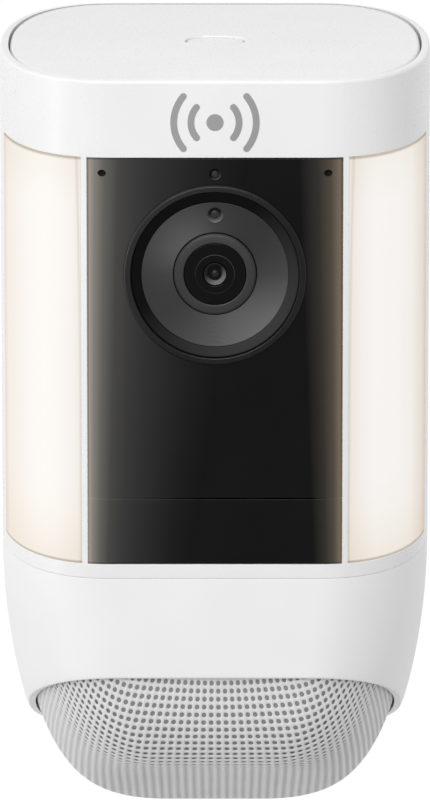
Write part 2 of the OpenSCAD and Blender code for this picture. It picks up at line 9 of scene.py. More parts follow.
import bmesh
import bpy
import numpy as np
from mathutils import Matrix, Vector


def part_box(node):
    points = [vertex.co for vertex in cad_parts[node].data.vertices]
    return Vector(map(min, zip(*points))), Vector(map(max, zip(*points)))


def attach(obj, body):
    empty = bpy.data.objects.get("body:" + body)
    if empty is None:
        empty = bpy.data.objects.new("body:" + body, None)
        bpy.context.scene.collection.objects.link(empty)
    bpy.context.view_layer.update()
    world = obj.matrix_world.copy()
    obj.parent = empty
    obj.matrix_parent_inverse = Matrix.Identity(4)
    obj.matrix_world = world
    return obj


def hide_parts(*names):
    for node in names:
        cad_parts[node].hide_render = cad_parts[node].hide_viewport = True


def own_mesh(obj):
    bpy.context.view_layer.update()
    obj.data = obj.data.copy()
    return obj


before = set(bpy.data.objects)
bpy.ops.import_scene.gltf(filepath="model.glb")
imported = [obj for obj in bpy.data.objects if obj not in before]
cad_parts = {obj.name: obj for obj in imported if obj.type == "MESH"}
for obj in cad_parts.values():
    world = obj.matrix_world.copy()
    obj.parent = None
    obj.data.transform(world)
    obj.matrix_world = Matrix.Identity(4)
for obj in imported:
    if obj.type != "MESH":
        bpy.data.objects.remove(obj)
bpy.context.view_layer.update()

MM = 0.001


# ---------- sizes taken from the frame, in mm ----------

def low(node, axis):
    return getattr(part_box(node)[0], axis) / MM


def high(node, axis):
    return getattr(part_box(node)[1], axis) / MM


FIT_GAP = 0.12  # line between pieces of the front
REAR_GAP = 0.15  # line round the rear cover
COVER_T = 2.8  # thickness of the top cover's plate
BEZEL_FLANGE = 0.5  # hidden flange round the bezel ring
GASKET_R = 1.9  # rubber gasket behind each microphone hole
MARK_DROP = 0.6  # the mark's centre, below the middle of the band
FRONT_Y = low("housing", "y")  # front face of the body, in the row frame
HALF_W = high("housing", "x")
BODY_D = high("housing", "y") - FRONT_Y
HALF_D = BODY_D / 2
TOP_Z = high("housing", "z")
SEAM_Z = high("skirt", "z")
COVER_Z = TOP_Z - COVER_T  # underside of the cover's plate
WINDOW_Z0 = low("sensor_window", "z") - FIT_GAP
WINDOW_Z1 = high("front_panel", "z") + FIT_GAP
SENSOR_TOP = (low("front_panel", "z") + high("sensor_window", "z")) / 2
PANEL_X = high("front_panel", "x") + FIT_GAP
STRIP_X = low("light_diffuser_right", "x") - FIT_GAP
LIGHT_Y = high("light_diffuser_right", "y") - FRONT_Y + FIT_GAP
LENS_Z = (low("front_lens", "z") + high("front_lens", "z")) / 2
CONE_Y = low("lens_cone", "y") - FRONT_Y  # front of the dished surround, at its outer edge
RING_Y = low("lens_ring", "y") - FRONT_Y
GLASS_Y = low("front_lens", "y") - FRONT_Y
BEZEL_R = (high("bezel_ring", "x") - low("bezel_ring", "x")) / 2 - BEZEL_FLANGE
MIC_X = (high("mic_gaskets", "x") - low("mic_gaskets", "x")) / 2 - GASKET_R
MIC_R = 0.78
MIC_Z = (high("mic_gaskets", "z") + low("mic_gaskets", "z")) / 2
STATUS_Z = (high("status_light", "z") + low("status_light", "z")) / 2
EMITTER_R = 1.36
EMITTER_Z = (high("ir_emitter", "z") + low("ir_emitter", "z")) / 2
BUTTON_R = 5.1
REAR_X = high("rear_cover", "x") + REAR_GAP
REAR_Z0, REAR_Z1 = low("rear_cover", "z") - REAR_GAP, high("rear_cover", "z") + REAR_GAP
MARK_Z = (WINDOW_Z1 + TOP_Z) / 2 - MARK_DROP

# Outline of the body in plan: flat in the middle, with superelliptic ends
CORNER_N = 2.32  # power of the ends' curve
CORNER_A = 20.3  # their half width
STRAIGHT_X = HALF_W - CORNER_A

# Lower body. The heights are above its underside, which slopes down towards the back.
SLOPE = math.tan(math.radians(20.2))
FLOOR_Z = -65.9  # the underside at the front face
RIM_H = 15.3  # height of the skirt's rim
SKIRT_WALL = 1.6
GRILLE_INSET = 1.85  # the dish, inside the skirt's outline
GRILLE_LIP = 3.0  # how far the dish goes on above the rim
SIDE_DROP, SIDE_RISE, SIDE_N = 20.5, 55.8, 2.48  # the sides: how far they draw in, from what height, power
FORE_DROP, FORE_RISE, FORE_N = 12.0, 14.5, 2.75  # the same for the front and the back
HOLE_PITCH = 1.495
HOLE_R = 0.5
FIRST_ROW = 53.55  # the front row, along the dish from the pattern's centre
SHEET_T = 0.25
DISH_LIFT = 0.06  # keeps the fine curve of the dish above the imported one

WALL = 2.4  # the housing's wall
LEDGE_W = 1.5  # the housing's rim round the cover
COVER_INSET = 1.8  # the cover's edge, inside the body's outline
SKIN_T = 1.8  # the black front pieces
SHARP = 38  # an edge with a greater turn, in degrees, stays sharp
ON_AXIS = 1e-6  # a smaller radius counts as a point on the axis


# ---------- plan of the body ----------

def plan_point(key, inset=0.0):
    """Point of the outline, drawn in by inset, about the body's centre. A key is (side, end, angle)."""
    side, end, angle = key
    across = max(0.0, math.sin(angle)) ** (2 / CORNER_N)
    along = max(0.0, math.cos(angle)) ** (2 / CORNER_N)
    return side * (STRAIGHT_X + (CORNER_A - inset) * across), end * (HALF_D - inset) * along


def surface(key, inset, z):
    x, y = plan_point(key, inset)
    return x, y + HALF_D, z


def angle_at_x(x):
    return math.asin(((x - STRAIGHT_X) / CORNER_A) ** (CORNER_N / 2))


def angle_at_y(y):
    return math.acos(((HALF_D - y) / HALF_D) ** (CORNER_N / 2))


def spread(first, last, count):
    return [first + (last - first) * k / count for k in range(count + 1)]


def merged(values, marks, gap):
    """Values with the marks put in, and without values closer than gap to a mark."""
    kept = [v for v in values if all(abs(v - m) >= gap for m in marks)]
    return sorted(kept + list(marks))


def ring_keys(front_marks=(), steps=28, rear_xs=()):
    """Keys all round the plan, anticlockwise from the middle of its front. rear_xs split its flat back."""
    quarter = spread(0, math.pi / 2, steps)
    front = merged(quarter, front_marks, 0.02)
    keys = [(1, -1, a) for a in front]
    keys += [(1, 1, a) for a in reversed(quarter[:-1])]
    keys += [(x / STRAIGHT_X, 1, 0.0) for x in sorted(rear_xs, reverse=True)]
    keys += [(-1, 1, a) for a in quarter]
    keys += [(-1, -1, a) for a in reversed(front[:-1])]
    return keys


# ---------- meshes ----------

def shell(cols, rows, outer, inner, keep=None, closed=True):
    """A wall between an outer and an inner grid of points, joined along every free edge."""
    n, m = len(cols), len(rows)
    verts = [outer(c, r) for r in rows for c in cols] + [inner(c, r) for r in rows for c in cols]
    layer = n * m
    skin = []
    for j in range(m - 1):
        for i in range(n if closed else n - 1):
            if keep is None or keep(i, j):
                k = (i + 1) % n
                skin.append((j * n + i, j * n + k, (j + 1) * n + k, (j + 1) * n + i))
    edges = {(f[k], f[(k + 1) % 4]) for f in skin for k in range(4)}
    rims = [(b, a, a + layer, b + layer) for a, b in edges if (b, a) not in edges]
    backs = [tuple(v + layer for v in reversed(f)) for f in skin]
    return verts, skin + backs + sorted(rims)


def softened(points, radius):
    """A closed outline with its corners rounded, apart from the points on the axis."""
    steps = 4
    out = []
    for k, (x, y) in enumerate(points):
        before, after = points[k - 1], points[(k + 1) % len(points)]
        if x < ON_AXIS:
            out.append((x, y))
            continue
        here = Vector((x, y))
        back, ahead = Vector(before) - here, Vector(after) - here
        a = here + back * min(0.45, radius / max(back.length, 1e-9))
        b = here + ahead * min(0.45, radius / max(ahead.length, 1e-9))
        for s in range(steps + 1):
            t = s / steps
            p = a * (1 - t) ** 2 + here * (2 * t * (1 - t)) + b * t ** 2
            out.append((p.x, p.y))
    return out


def lathe(points, centre, axis="y", segments=96):
    """A turned solid from a closed outline of [radius, along], about a line along axis through centre."""
    cx, cy, cz = centre
    verts, starts = [], []
    for r, s in points:
        starts.append((len(verts), r > ON_AXIS))
        for k in range(segments if r > ON_AXIS else 1):
            a = 2 * math.pi * k / segments
            u, v = r * math.cos(a), r * math.sin(a)
            verts.append((cx + u, cy + s, cz + v) if axis == "y" else (cx + u, cy + v, cz + s))
    faces = []
    for k, (a0, a_ring) in enumerate(starts):
        b0, b_ring = starts[(k + 1) % len(starts)]
        for i in range(segments):
            j = (i + 1) % segments
            if a_ring and b_ring:
                faces.append((a0 + i, a0 + j, b0 + j, b0 + i))
            elif a_ring:
                faces.append((a0 + i, a0 + j, b0))
            elif b_ring:
                faces.append((a0, b0 + j, b0 + i))
    return verts, faces


def drill(radius, x, z, segments):
    """A rod along y that cuts a round hole through the front pieces."""
    return lathe([(0, -3), (radius, -3), (radius, 6), (0, 6)], (x, 0, z), segments=segments)


def bands(count, rings, wrapped=False):
    """Faces between rings of count points each. Wrapped rings join the last one to the first."""
    faces = []
    for j in range(rings if wrapped else rings - 1):
        here, there = j * count, (j + 1) % rings * count
        for i in range(count):
            k = (i + 1) % count
            faces.append((here + i, here + k, there + k, there + i))
    return faces


def merge(*parts):
    """One vertex and face list from several."""
    verts, faces = [], []
    for v, f in parts:
        faces += [tuple(i + len(verts) for i in face) for face in f]
        verts += v
    return verts, faces


def slab(x0, x1, y0, y1, z0, z1):
    verts = [(x, y, z) for x in (x0, x1) for y in (y0, y1) for z in (z0, z1)]
    faces = [(0, 1, 3, 2), (4, 6, 7, 5), (0, 4, 5, 1), (2, 3, 7, 6), (0, 2, 6, 4), (1, 5, 7, 3)]
    return verts, faces


def new_mesh(name, shape):
    """The shape as a mesh in the row frame, in metres."""
    verts, faces = shape
    mesh = bpy.data.meshes.new(name)
    mesh.from_pydata([(x * MM, (y + FRONT_Y) * MM, z * MM) for x, y, z in verts], [], faces)
    return mesh


def new_object(name, mesh):
    made = bpy.data.objects.new(name, mesh)
    bpy.context.scene.collection.objects.link(made)
    return made


def face_outwards(mesh, weld=False):
    """Turns every face outwards. Welding first joins doubled points and drops loose ones."""
    edit = bmesh.new()
    edit.from_mesh(mesh)
    if weld:
        bmesh.ops.remove_doubles(edit, verts=edit.verts, dist=1e-7)
        bmesh.ops.delete(edit, geom=[v for v in edit.verts if not v.link_faces], context="VERTS")
    bmesh.ops.recalc_face_normals(edit, faces=edit.faces)
    edit.to_mesh(mesh)
    edit.free()


def smooth(mesh, sharp=180):
    """Shades the mesh smooth, apart from edges that turn more than sharp degrees."""
    mesh.polygons.foreach_set("use_smooth", [True] * len(mesh.polygons))
    if sharp < 180:
        mesh.set_sharp_from_angle(angle=math.radians(sharp))


def build(name, shape, body, mat, nodes=(), slot=None, sharp=SHARP):
    """Makes the piece in the row frame, rides it on its body and lets it stand for its CAD nodes."""
    mesh = new_mesh(name, shape)
    face_outwards(mesh, weld=True)
    smooth(mesh, sharp)
    piece = new_object(name, mesh)
    mesh.materials.append(mat)
    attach(piece, body)
    if nodes:
        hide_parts(*nodes)
    return piece


def weigh_normals(piece):
    shade = piece.modifiers.new("even_shading", "WEIGHTED_NORMAL")
    shade.keep_sharp = True
    shade.weight = 60


def round_edges(piece, width, segments=3):
    """Rounds the piece's sharp edges by width, in mm."""
    bevel = piece.modifiers.new("round_edges", "BEVEL")
    bevel.width = width * MM
    bevel.segments = segments
    bevel.limit_method = "ANGLE"
    bevel.angle_limit = math.radians(32)
    bevel.harden_normals = True
    bevel.use_clamp_overlap = True


def cut(piece, shapes):
    """Cuts solid shapes out of the piece and keeps the result as its mesh."""
    cutters = []
    for k, shape in enumerate(shapes):
        mesh = new_mesh(f"cutter_{k}", shape)
        face_outwards(mesh)
        cutters.append(new_object(f"cutter_{k}", mesh))
        boolean = piece.modifiers.new(f"cut_{k}", "BOOLEAN")
        boolean.operation = "DIFFERENCE"
        boolean.solver = "EXACT"
        boolean.object = cutters[-1]
    graph = bpy.context.evaluated_depsgraph_get()
    made = bpy.data.meshes.new_from_object(piece.evaluated_get(graph), depsgraph=graph)
    piece.modifiers.clear()
    piece.data = made
    smooth(made, SHARP)
    for cutter in cutters:
        bpy.data.objects.remove(cutter)


# ---------- materials ----------

def srgb(levels):
    """A colour from one grey level or from three levels, 0 to 255, as a screen shows them."""
    def linear(c):
        c /= 255
        return c / 12.92 if c <= 0.04045 else ((c + 0.055) / 1.055) ** 2.4
    if isinstance(levels, (int, float)):
        levels = (levels,) * 3
    return (*[linear(c) for c in levels], 1.0)


class Surface:
    """A Principled material with short calls for the nodes that drive it."""

    def __init__(self, name, **sockets):
        self.mat = bpy.data.materials.new(name)
        self.mat.use_nodes = True
        self.tree = self.mat.node_tree
        self.shader = self.tree.nodes["Principled BSDF"]
        for key, value in sockets.items():
            self.shader.inputs[key.replace("_", " ")].default_value = value

    def node(self, kind, **props):
        made = self.tree.nodes.new(kind)
        for key, value in props.items():
            setattr(made, key, value)
        return made

    def link(self, source, target):
        self.tree.links.new(source, target)

    def place(self):
        return self.node("ShaderNodeTexCoord").outputs["Object"]

    def xyz(self):
        """The place along each axis, in metres."""
        apart = self.node("ShaderNodeSeparateXYZ")
        self.link(self.place(), apart.inputs["Vector"])
        return [apart.outputs[axis] for axis in "XYZ"]

    def noise(self, per_mm, detail=2.0, stretch=(1, 1, 1)):
        """Noise with about per_mm features in a millimetre."""
        mapping = self.node("ShaderNodeMapping")
        mapping.inputs["Scale"].default_value = stretch
        self.link(self.place(), mapping.inputs["Vector"])
        made = self.node("ShaderNodeTexNoise")
        made.inputs["Scale"].default_value = per_mm / MM
        made.inputs["Detail"].default_value = detail
        self.link(mapping.outputs["Vector"], made.inputs["Vector"])
        return made.outputs["Fac"]

    def ramp(self, factor, stops):
        """A colour from stops of (place, levels)."""
        made = self.node("ShaderNodeValToRGB")
        points = made.color_ramp.elements
        while len(points) < len(stops):
            points.new(0.5)
        for point, (position, levels) in zip(points, stops):
            point.position = position
            point.color = srgb(levels)
        self.link(factor, made.inputs["Fac"])
        return made.outputs["Color"]

    def remap(self, value, a, b, c, d):
        made = self.node("ShaderNodeMapRange")
        for key, number in zip(("From Min", "From Max", "To Min", "To Max"), (a, b, c, d)):
            made.inputs[key].default_value = number
        self.link(value, made.inputs["Value"])
        return made.outputs["Result"]

    def math(self, operation, a, b=None):
        made = self.node("ShaderNodeMath", operation=operation)
        for k, value in enumerate((a, b)):
            if value is None:
                continue
            if isinstance(value, (int, float)):
                made.inputs[k].default_value = value
            else:
                self.link(value, made.inputs[k])
        return made.outputs["Value"]

    def mix(self, factor, a, b, kind="MIX"):
        made = self.node("ShaderNodeMix", data_type="RGBA", blend_type=kind)
        for socket, value in ((made.inputs[0], factor), (made.inputs[6], a), (made.inputs[7], b)):
            if isinstance(value, (int, float, tuple)):
                socket.default_value = value
            else:
                self.link(value, socket)
        return made.outputs[2]

    def bump(self, height, depth_mm):
        made = self.node("ShaderNodeBump")
        made.inputs["Distance"].default_value = depth_mm * MM
        self.link(height, made.inputs["Height"])
        self.link(made.outputs["Normal"], self.shader.inputs["Normal"])

    def drive(self, source, socket):
        self.link(source, self.shader.inputs[socket])


def moulded(name, dark, light, rough, grain=3.0, depth=0.004, blotch=0.06, **sockets):
    """Moulded plastic, rubber or paint: a slow drift of colour, a fine grain and uneven gloss."""
    s = Surface(name, **sockets)
    s.drive(s.ramp(s.noise(blotch), [(0.3, dark), (0.7, light)]), "Base Color")
    fine = s.noise(grain, detail=3)
    s.drive(s.remap(fine, 0.3, 0.7, rough - 0.04, rough + 0.04), "Roughness")
    s.bump(fine, depth)
    return s.mat


def metal(name, dark, light, rough, brush=(1, 1, 1)):
    """Bare metal. Its brushing runs along the axis on which brush is small."""
    s = Surface(name, Metallic=1.0)
    s.drive(s.ramp(s.noise(2.0, stretch=brush), [(0.25, dark), (0.75, light)]), "Base Color")
    fine = s.noise(4.0, detail=4, stretch=brush)
    s.drive(s.remap(fine, 0.3, 0.7, rough - 0.06, rough + 0.06), "Roughness")
    s.bump(fine, 0.002)
    return s.mat


def board_paint(name, dark, light):
    """Solder mask with faint copper tracks under it."""
    s = Surface(name, Coat_Weight=0.3)
    brick = s.node("ShaderNodeTexBrick")
    brick.inputs["Scale"].default_value = 0.35 / MM
    brick.inputs["Mortar Size"].default_value = 0.06
    brick.inputs["Color1"].default_value = srgb(dark)
    brick.inputs["Color2"].default_value = srgb(dark)
    brick.inputs["Mortar"].default_value = srgb(light)
    turned = s.node("ShaderNodeMapping")
    turned.inputs["Rotation"].default_value = (math.pi / 2, 0, 0)
    s.link(s.place(), turned.inputs["Vector"])
    s.link(turned.outputs["Vector"], brick.inputs["Vector"])
    s.drive(brick.outputs["Color"], "Base Color")
    fine = s.noise(2.0)
    s.drive(s.remap(fine, 0.3, 0.7, 0.3, 0.42), "Roughness")
    s.bump(brick.outputs["Fac"], 0.02)
    return s.mat


def warm(level):
    """Levels of a warm white, more cream the darker it is."""
    cream = 3 + (255 - level) * 0.25
    return level + cream, level, level - cream


def gloss_with_painted_glow(name):
    """Glossy black plastic. Its emission is a painted glow: the light panels' warm light and a soft
    reflection, painted in from its upright edges.
    """
    s = Surface(name, Specular_IOR_Level=0.14, Coat_Weight=0.06, Coat_Roughness=0.04)
    s.drive(s.ramp(s.noise(0.08), [(0.3, 10), (0.7, 14)]), "Base Color")
    s.drive(s.remap(s.noise(1.2, detail=4), 0.3, 0.7, 0.12, 0.17), "Roughness")
    x, _, z = s.xyz()
    bottom, top = WINDOW_Z0 * MM, WINDOW_Z1 * MM
    glow_width = s.remap(z, bottom, top, 0.8 * PANEL_X * MM, 1.25 * PANEL_X * MM)
    # painted glow: warm light and reflection painted into the emission from each upright edge
    shades = []
    for sign, levels in ((1, PAINTED_GLOW_LEFT), (-1, PAINTED_GLOW_RIGHT)):
        from_edge = s.math("ADD", s.math("MULTIPLY", x, sign), PANEL_X * MM)
        shades.append(s.ramp(s.math("DIVIDE", from_edge, glow_width), levels))
    shade = s.mix(1.0, *shades, "ADD")
    # painted shade: the glow darkens to a dark line along the panel's top and bottom edges
    to_end = s.math("MINIMUM", s.math("SUBTRACT", z, bottom), s.math("SUBTRACT", top, z))
    shade = s.mix(1.0, shade, s.remap(to_end, 0.2 * MM, 0.4 * MM, 0.45, 1), "MULTIPLY")
    s.drive(shade, "Emission Color")
    s.shader.inputs["Emission Strength"].default_value = 1.0
    return s.mat


def lit_panel(name, tones):
    """Frosted panel lit from behind: brightest near its middle, creamier at its edges.

    tones are the levels across the panel, from its inner edge to its outer edge.
    """
    s = Surface(name, Roughness=0.45, Specular_IOR_Level=0.14)
    x, _, z = s.xyz()
    across = s.math("ABSOLUTE", x)
    side = s.remap(across, STRIP_X * MM, HALF_W * MM, 0, 1)
    tone = s.ramp(side, [(place, warm(level)) for place, level in zip(TONE_PLACES, tones)])
    height = s.remap(z, WINDOW_Z0 * MM, WINDOW_Z1 * MM, 0, 1)
    line = 0.34 / (WINDOW_Z1 - WINDOW_Z0)
    ends = s.ramp(height, [
        (line, LINE), (line * 1.3, (249, 244, 236)), (0.05, (251, 248, 243)),
        (0.12, (254, 253, 250)), (0.2, 255), (0.88, 255),
        (1 - line * 1.3, (251, 249, 245)), (1 - line, LINE)])
    # painted shadow of a rib behind the panel: a dark line near its inner edge, further in towards the top
    rib_shadow_inset = s.remap(s.math("POWER", height, 3.0), 0, 1, 0.1 * MM, 0.75 * MM)
    from_strip = s.math("SUBTRACT", across, STRIP_X * MM)
    from_rib_shadow = s.math("ABSOLUTE", s.math("SUBTRACT", from_strip, rib_shadow_inset))
    rib_shadow = s.ramp(s.remap(from_rib_shadow, 0, 0.4 * MM, 0, 1), [(0.0, 236), (1.0, 255)])
    colour = s.mix(1.0, s.mix(1.0, tone, ends, "MULTIPLY"), rib_shadow, "MULTIPLY")
    s.drive(s.mix(1.0, colour, srgb(137), "MULTIPLY"), "Base Color")
    s.drive(colour, "Emission Color")
    s.shader.inputs["Emission Strength"].default_value = 0.7
    s.bump(s.noise(2.2, detail=3), 0.004)
    return s.mat


def turned_painted_shade(name, z, dark, light, rough, peak=-60, gloss=0.4):
    """Dark turned plastic round a line along y at height z, with painted light and shade: lightest in the
    direction peak, in degrees.
    """
    s = Surface(name, Roughness=rough, Specular_IOR_Level=gloss)
    x, _, height = s.xyz()
    up = s.math("SUBTRACT", height, z * MM)
    angle = s.math("SUBTRACT", s.math("ARCTAN2", up, x), math.radians(peak))
    towards = s.remap(s.math("COSINE", angle), -1, 1, 0, 1)
    s.drive(s.ramp(towards, [(0.35, dark), (1.0, light)]), "Base Color")
    s.bump(s.noise(3.0), 0.001)
    return s.mat


def cone_painted_sheen():
    """Spun dark metal look: a painted sheen in bright and dark sectors round the lens, painted light
    growing outwards at the lower right, and fine turning lines.
    """
    s = Surface("lens_surround", Roughness=0.42, Specular_IOR_Level=0.4)
    x, _, z = s.xyz()
    up = s.math("SUBTRACT", z, LENS_Z * MM)
    angle = s.math("ARCTAN2", up, x)
    # painted sheen: bright and dark sectors round the lens, then painted light leaning to the lower right
    painted_sheen_sector = s.remap(s.math("SINE", s.math("MULTIPLY", angle, 2.0)), -1, 1, 1, 0)
    radius = s.math("SQRT", s.math("ADD", s.math("MULTIPLY", up, up), s.math("MULTIPLY", x, x)))
    outward = s.remap(radius, 7.4 * MM, 12.9 * MM, -1, 1)
    lit_side = s.math("COSINE", s.math("SUBTRACT", angle, math.radians(-50)))
    lean = s.remap(s.math("MULTIPLY", outward, lit_side), -1, 1, 0.68, 1.32)
    shade = s.ramp(painted_sheen_sector, [(0.0, 40), (0.5, 54), (1.0, 78)])
    s.drive(s.mix(1.0, shade, lean, "MULTIPLY"), "Base Color")
    line_pitch = 0.22 * MM
    s.bump(s.math("SINE", s.math("MULTIPLY", radius, 2 * math.pi / line_pitch)), 0.003)
    return s.mat


# Painted glow and reflection on the black front, from each upright edge inwards, as shares of glow_width
PAINTED_GLOW_LEFT = [(0.0, (104, 100, 94)), (0.0064, (104, 100, 94)), (0.016, (158, 151, 141)),
             (0.048, (130, 124, 117)), (0.112, (95, 94, 90)), (0.2, (66, 65, 63)),
             (0.32, 51), (0.44, 41), (0.64, 27), (0.8, 14), (1.0, 0)]
PAINTED_GLOW_RIGHT = [(0.0, (80, 73, 64)), (0.008, (80, 73, 64)), (0.02, (114, 103, 88)),
              (0.08, (76, 68, 58)), (0.16, (44, 42, 37)), (0.28, 0)]

# Levels across each light panel, from the inner edge out
TONE_PLACES = (0.0, 0.1, 0.2, 0.32, 0.45, 0.6, 0.75, 0.88, 0.95, 1.0)
TONES_LEFT = (240, 246, 249, 252, 253, 250, 243, 234, 204, 182)
TONES_RIGHT = (236, 244, 250, 255, 255, 254, 248, 226, 190, 172)
LINE = (205, 197, 186)  # the shadow line along the top and bottom of a light panel

WHITE = moulded("white_shell", 238, 241, 0.3)
WHITE_SKIRT = moulded("white_skirt", 243, 246, 0.42)
GRILLE = moulded("grille_shell", 226, 230, 0.5)
LINER = moulded("grille_cloth", 146, 154, 0.9, grain=5.0, depth=0.01)
PANEL = gloss_with_painted_glow("black_panel")
LIT = {"left": lit_panel("lit_panel_left", TONES_LEFT),
       "right": lit_panel("lit_panel_right", TONES_RIGHT)}
# lens pieces with painted light and shade, each lighter towards one side; the cups' lighter side is a
# painted crescent highlight
RING = turned_painted_shade("lens_bezel", LENS_Z, 6, 30, 0.28, peak=140, gloss=0.4)
RING_WALL = turned_painted_shade("lens_bezel_wall", LENS_Z, 11, 54, 0.5, peak=-48, gloss=0.06)
CONE = cone_painted_sheen()
BLACK = moulded("black_plastic", 18, 24, 0.35)
BLACK_GLASS = moulded("lens_glass", 9, 12, 0.07, depth=0.0, Specular_IOR_Level=0.16)
LENS_GREY = moulded("lens_grey", 40, 46, 0.38)
LENS_LINE = turned_painted_shade("lens_line", LENS_Z, 24, 62, 0.4, peak=80, gloss=0.2)
CUP = turned_painted_shade("lens_cup", LENS_Z, 8, 104, 0.35)
EMITTER_CUP = turned_painted_shade("emitter_cup", EMITTER_Z, 40, 100, 0.35, peak=-80)
STATUS_CUP = turned_painted_shade("status_cup", STATUS_Z, 16, 76, 0.35, peak=-50)
BEAD = moulded("lens_bead", (22, 21, 30), (30, 29, 40), 0.08, depth=0.0, Specular_IOR_Level=0.4)
MIC_CLOTH = moulded("mic_cloth", 8, 13, 0.8, grain=6.0, depth=0.01)
EMITTER = moulded("emitter_glass", (44, 44, 47), (54, 54, 58), 0.3, depth=0.0,
                  Specular_IOR_Level=0.16)
INNER_GREY = moulded("inner_grey", 196, 204, 0.5)
STEEL = metal("steel", 168, 190, 0.3, brush=(1, 1, 0.1))
GOLD = metal("gold", (206, 168, 92), (222, 186, 112), 0.28)
BOARD = board_paint("board", (22, 84, 58), (34, 110, 76))
LED = moulded("led_yellow", (238, 206, 96), (246, 220, 122), 0.3)
RUBBER = moulded("rubber_grey", 78, 88, 0.7)
ORANGE = moulded("orange_key", (228, 112, 38), (236, 124, 48), 0.4)
PACK = moulded("pack_black", (38, 39, 41), (46, 47, 49), 0.5)
MARK = moulded("mark_grey", 150, 156, 0.5)

# The CAD nodes that stay in view, by material
NODE_FINISH = [
    (WHITE, "wall_plate swivel_base tilt_knob arm rear_cover port_plug reflector_left reflector_right"),
    (RUBBER, "swivel_ring tilt_washers mic_gaskets bay_seal"),
    (STEEL, "tilt_pin spigot_nut case_screws speaker_magnet board_shields latch_plate"),
    (INNER_GREY, "base_plate speaker_baffle chassis battery_bay top_deck"),
    (BLACK, "speaker_frame speaker_cone lens_barrel filter_holder image_sensor latch_bolt_left "
            "latch_bolt_right"),
    (BOARD, "led_boards sensor_board mic_board radar_board main_board"),
    (LED, "leds"),
    (EMITTER, "inner_lenses ir_filter ir_emitter"),
    (LENS_GREY, "status_light"),
    (GOLD, "motion_sensor wifi_antennas bay_contacts"),
    (ORANGE, "setup_button"),
    (PACK, "battery_left battery_right"),
]


def finish_node(name, mat):
    """Gives a CAD node its material and softens its edges."""
    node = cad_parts[name]
    node.data.materials.clear()
    node.data.materials.append(mat)
    smooth(node.data)
    weld = node.modifiers.new("weld", "WELD")
    weld.merge_threshold = 1e-6
    round_edges(node, 0.25, segments=2)
    weigh_normals(node)


# ---------- housing and front ----------

SOFT_STEPS = (0.0, 0.134, 0.5, 1.0)  # places across a rounded edge, as shares of its radius


def dent(distance, radius):
    """How far a rounded edge falls back at a distance from the edge."""
    if distance >= radius:
        return 0.0
    reach = radius - max(0.0, distance)
    return radius - math.sqrt(max(0.0, radius * radius - reach * reach))


def housing():
    """The white shell: one wall all round, open at the three front windows, with a rim for the cover."""
    edge, rim, lip, seam_edge = 0.16, 0.6, 0.25, 0.1
    marks = [angle_at_x(PANEL_X + edge * s) for s in SOFT_STEPS]
    marks += [angle_at_x(STRIP_X - edge * s) for s in SOFT_STEPS]
    marks += [angle_at_y(LIGHT_Y + edge * s) for s in SOFT_STEPS]
    keys = ring_keys(marks, rear_xs=[side * (REAR_X + edge * s) for s in SOFT_STEPS for side in (-1, 1)])
    seam, shoulder, ledge_z = SEAM_Z + 0.04, REAR_Z1 + 1, COVER_Z - 0.3
    heights = [z - edge * s for z in (WINDOW_Z0, REAR_Z0) for s in SOFT_STEPS]
    heights += [z + edge * s for z in (WINDOW_Z1, REAR_Z1) for s in SOFT_STEPS]
    seam_rows = [(dent(seam_edge * s, seam_edge), seam + seam_edge * s) for s in SOFT_STEPS]
    rows = [(fall, z, WALL, z) for fall, z in seam_rows + [(0, z) for z in sorted(heights) + [shoulder]]]
    path = [(rim * (1 - math.cos(a)), TOP_Z - rim + rim * math.sin(a)) for a in spread(0, math.pi / 2, 6)]
    path += [(LEDGE_W - lip * math.cos(a), TOP_Z - lip + lip * math.sin(a))
             for a in spread(math.pi / 2, 0, 3)]
    path.append((LEDGE_W, ledge_z))
    inner_heights = spread(shoulder + 0.5, ledge_z, len(path) - 1)
    rows += [(inset, z, WALL, h) for (inset, z), h in zip(path, inner_heights)]

    xs = [plan_point(k)[0] for k in keys]
    ys = [plan_point(k)[1] + HALF_D for k in keys]
    back_y = BODY_D - 0.01

    def in_window(x, y):
        """Whether the plan at this place is as wide as the black panel or a light panel."""
        near_middle = abs(x) < PANEL_X + 1e-6 and y < HALF_D
        return near_middle or (abs(x) > STRIP_X - 1e-6 and y < LIGHT_Y + 1e-6)

    def keep(i, j):
        k = (i + 1) % len(keys)
        x, y = (xs[i] + xs[k]) / 2, (ys[i] + ys[k]) / 2
        z = (rows[j][1] + rows[j + 1][1]) / 2
        if y > back_y and abs(x) < REAR_X:
            return not REAR_Z0 < z < REAR_Z1
        return not (in_window(x, y) and WINDOW_Z0 < z < WINDOW_Z1)

    def gap_to_window(x, y, z):
        """Distance to the nearest window, zero on its edge."""
        side = abs(x)
        if y > back_y:
            return math.hypot(max(0.0, REAR_Z0 - z, z - REAR_Z1), max(0.0, side - REAR_X))
        beyond = max(0.0, WINDOW_Z0 - z, z - WINDOW_Z1)
        across = 0.0
        if PANEL_X < side < STRIP_X and y < HALF_D:
            across = min(side - PANEL_X, STRIP_X - side)
        elif y > LIGHT_Y:
            across = y - LIGHT_Y
        return math.hypot(beyond, across)

    def outer(key, row):
        x, y = plan_point(key)
        z = row[1]
        fall = dent(gap_to_window(x, y + HALF_D, z), edge) if row[0] == 0 else 0
        return surface(key, row[0] + fall, z)

    def inner(key, row):
        return surface(key, row[2], row[3])

    shape = shell(keys, rows, outer, inner, keep)
    weigh_normals(build("housing_shell", shape, "camera", WHITE, ["housing"], "white_shell"))


